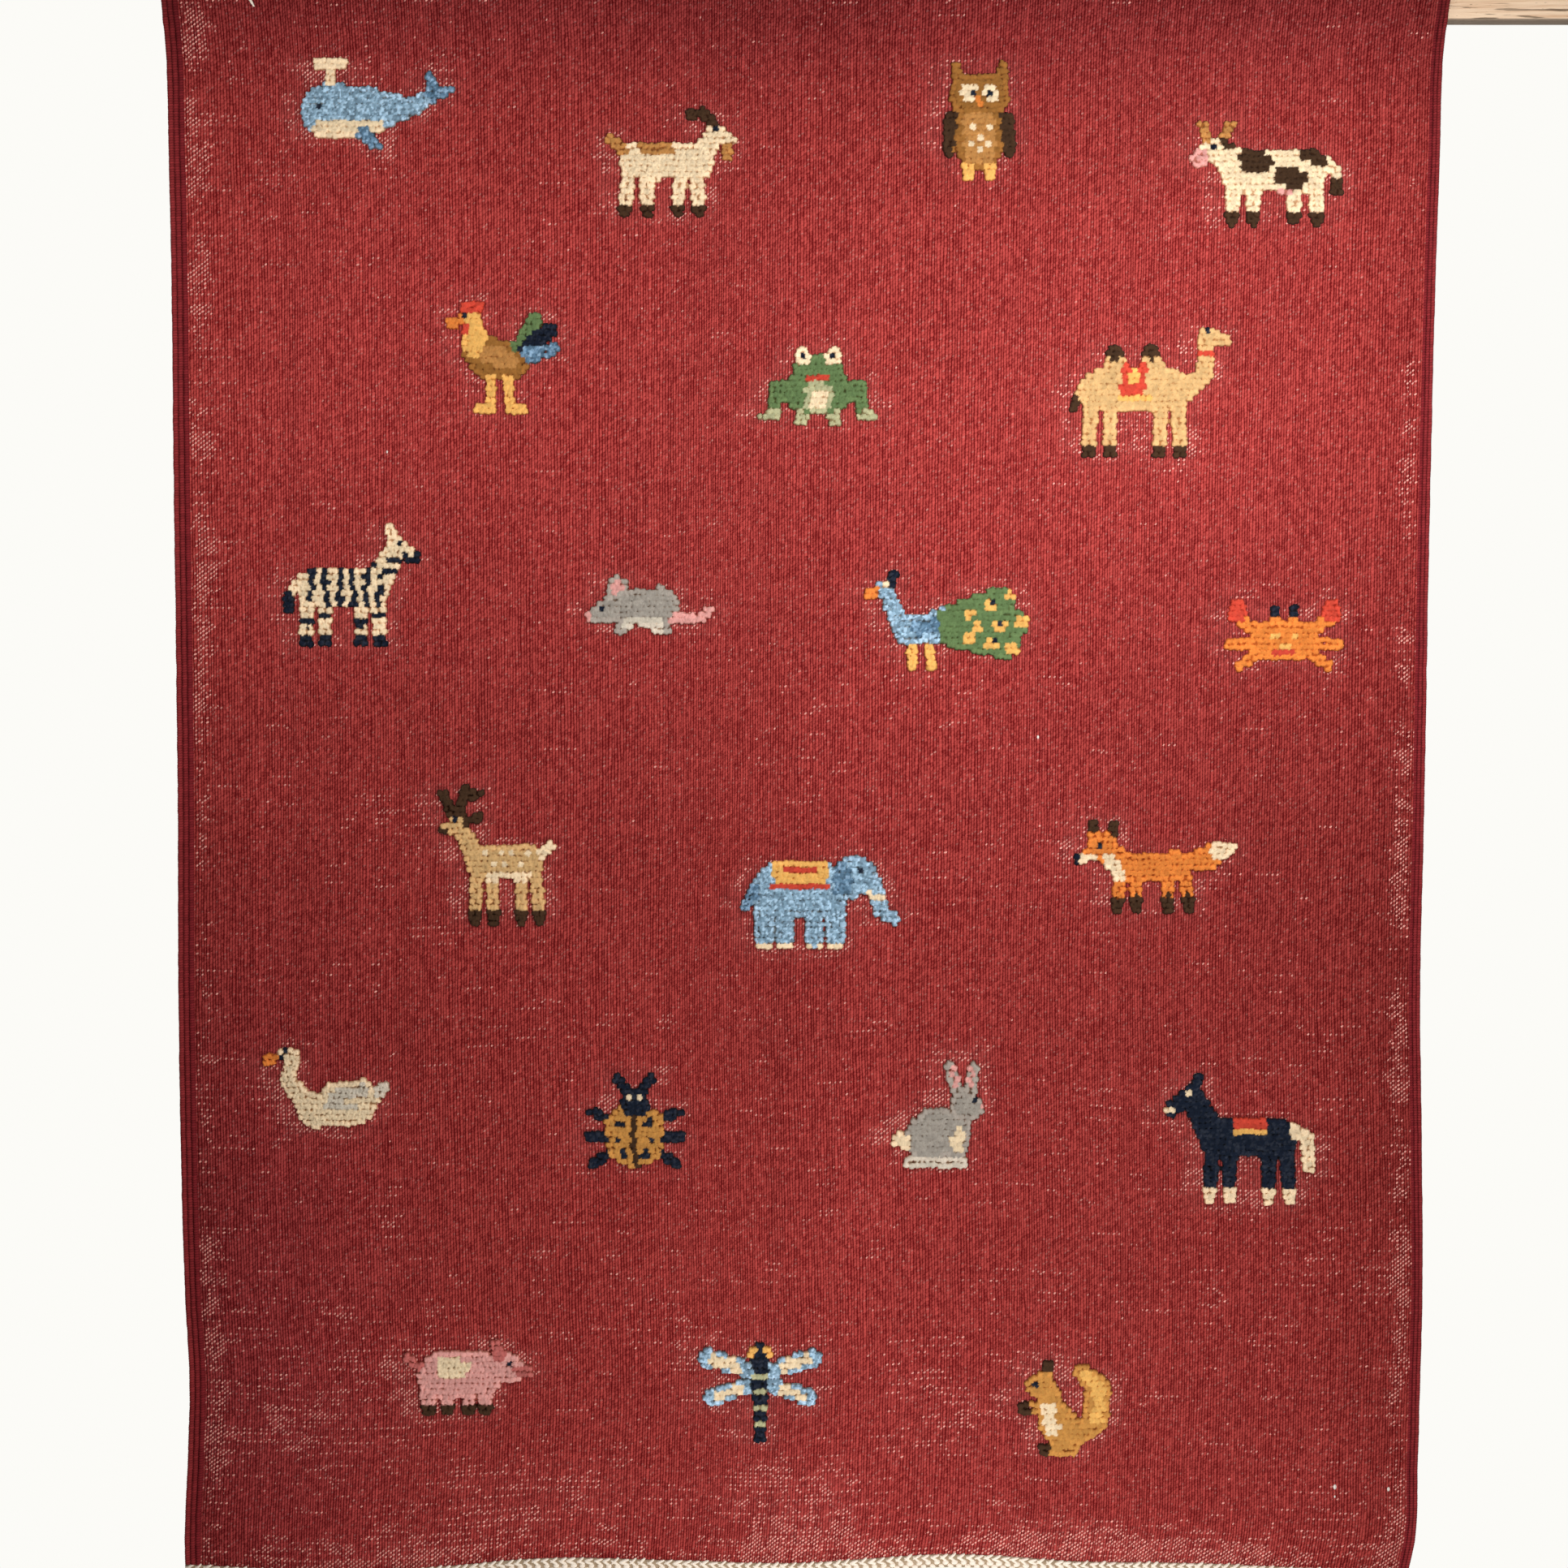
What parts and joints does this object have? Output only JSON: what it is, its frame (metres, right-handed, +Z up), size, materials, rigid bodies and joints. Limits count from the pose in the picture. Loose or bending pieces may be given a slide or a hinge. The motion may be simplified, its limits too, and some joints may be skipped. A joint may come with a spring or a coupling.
{
  "type": "wool rug hung on a wooden bar",
  "caption": "Red handwoven wool rug with small pile animals, hung flat from its top end on a plain wooden bar.",
  "frame": {"origin": "on the back face of the bar, at the rug's centre line and the bar's mid height", "axes": "+Z up; the rug's face looks along -Y, and +Y points to the wall that holds the bar"},
  "size_m": [1.373, 0.0339, 1.5367],
  "materials": {
    "red_wool": "matt hand-spun wool weft, weft-faced weave",
    "dark_red_wool": "matt wool wrapped round cords",
    "cream_cotton": "matt twisted cotton",
    "weathered_wood": "weathered, unvarnished",
    "cream_pile": "cut wool pile",
    "blue_pile": "cut wool pile",
    "brown_pile": "cut wool pile",
    "gold_pile": "cut wool pile",
    "tan_pile": "cut wool pile",
    "green_pile": "cut wool pile",
    "grey_pile": "cut wool pile",
    "orange_pile": "cut wool pile",
    "navy_pile": "cut wool pile",
    "pink_pile": "cut wool pile"
  },
  "bodies": {
    "root": {"rug_cloth": "red_wool", "selvedge_left": "dark_red_wool", "selvedge_right": "dark_red_wool", "end_braid_lower": "cream_cotton", "end_braid_upper": "cream_cotton", "hanging_bar": "weathered_wood", "figure_whale": "blue_pile", "figure_goat": "cream_pile", "figure_owl": "brown_pile", "figure_cow": "cream_pile", "figure_rooster": "brown_pile", "figure_frog": "green_pile", "figure_camel": "tan_pile", "figure_zebra": "cream_pile", "figure_mouse": "grey_pile", "figure_peacock": "blue_pile", "figure_crab": "orange_pile", "figure_deer": "tan_pile", "figure_elephant": "blue_pile", "figure_fox": "orange_pile", "figure_swan": "cream_pile", "figure_beetle": "gold_pile", "figure_rabbit": "grey_pile", "figure_horse": "navy_pile", "figure_pig": "pink_pile", "figure_dragonfly": "blue_pile", "figure_squirrel": "gold_pile"}
  },
  "joints": []
}
